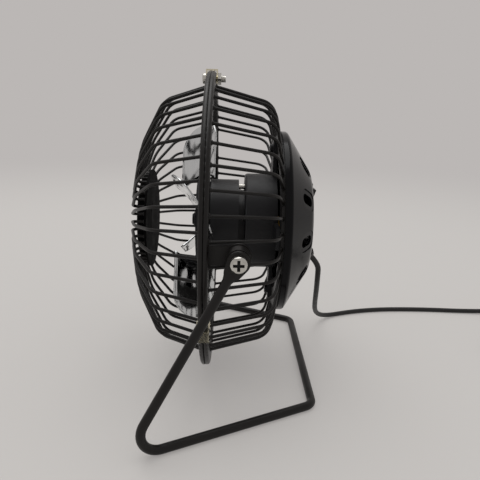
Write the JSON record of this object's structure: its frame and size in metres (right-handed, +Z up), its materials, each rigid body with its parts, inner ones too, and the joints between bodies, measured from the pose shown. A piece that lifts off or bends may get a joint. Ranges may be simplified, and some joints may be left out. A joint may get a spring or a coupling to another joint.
{
  "type": "desk fan",
  "caption": "Small desk fan: a round wire cage with sheet blades inside, a domed rear cover with a rocker switch, and a bent-rod stand that it tilts on; the lead ends in a USB plug.",
  "frame": {"origin": "on the table, under the middle of the fan's outline, its cord left out", "axes": "+Z up, the fan blows towards -Y, the tilt pivots lie along X"},
  "size_m": [0.1826, 0.29, 0.1538],
  "materials": {
    "black_enamel": "semi-gloss black stove enamel on steel",
    "gloss_black": "glossy moulded black plastic",
    "inner_plastic": "matt black moulded plastic",
    "rocker_plastic": "satin black plastic, lightly worn",
    "blade_aluminium": "polished sheet",
    "screw_steel": "bright zinc plate",
    "motor_steel": "plain drawn steel",
    "magnet_ferrite": "dull sintered ferrite",
    "contact_brass": "stamped and plated",
    "clip_plastic": "clear plastic, slightly yellowed",
    "cord_black": "satin black flexible plastic",
    "plug_steel": "nickel-plated sheet",
    "plug_insert": "white moulded plastic"
  },
  "bodies": {
    "stand": {"stand_rod": "black_enamel", "cord_free": "cord_black", "cord_coil": "cord_black", "coil_tie": "cord_black", "plug_body": "cord_black", "plug_shell": "plug_steel", "plug_tongue": "plug_insert", "plug_contacts": "contact_brass"},
    "head": {"pivot_ears": "black_enamel", "pivot_posts": "black_enamel", "pivot_washers": "inner_plastic", "spring_washers": "screw_steel", "pivot_screws": "screw_steel", "front_rim": "black_enamel", "rear_rim": "black_enamel", "front_grille_wires": "black_enamel", "rear_grille_wires": "black_enamel", "front_centre_plate": "black_enamel", "badge_disc": "gloss_black", "rear_support_ring": "black_enamel", "rear_cover": "gloss_black", "motor_shell": "gloss_black", "motor_spacer": "inner_plastic", "rear_housing": "gloss_black", "housing_screws": "screw_steel", "cover_screws": "screw_steel", "motor_can": "motor_steel", "motor_end_cap": "inner_plastic", "motor_bushings": "contact_brass", "motor_terminals": "contact_brass", "motor_magnets": "magnet_ferrite", "rim_screw": "screw_steel", "rim_nut": "screw_steel", "rim_clips": "clip_plastic", "switch_body": "inner_plastic", "switch_terminals": "contact_brass", "strain_relief": "cord_black"},
    "rotor": {"motor_shaft": "screw_steel", "motor_rotor": "motor_steel", "blade_hub": "gloss_black", "hub_nut": "screw_steel", "fan_blades": "blade_aluminium"},
    "rocker": {"switch_rocker": "rocker_plastic"}
  },
  "joints": [
    {"name": "head_tilt", "type": "hinge", "parent": "stand", "child": "head", "pos_m": [0, 0.0056, 0.079], "axis": [-1, 0, 0], "range_deg": [-45, 90], "deforming": ["cord_free"]},
    {"name": "blade_spin", "type": "hinge", "parent": "head", "child": "rotor", "pos_m": [0, -0.0085, 0.079], "axis": [0, 1, 0], "continuous": true},
    {"name": "switch_rock", "type": "hinge", "parent": "head", "child": "rocker", "pos_m": [0, 0.0428, 0.092], "axis": [1, 0, 0], "range_deg": [0, 18]}
  ]
}
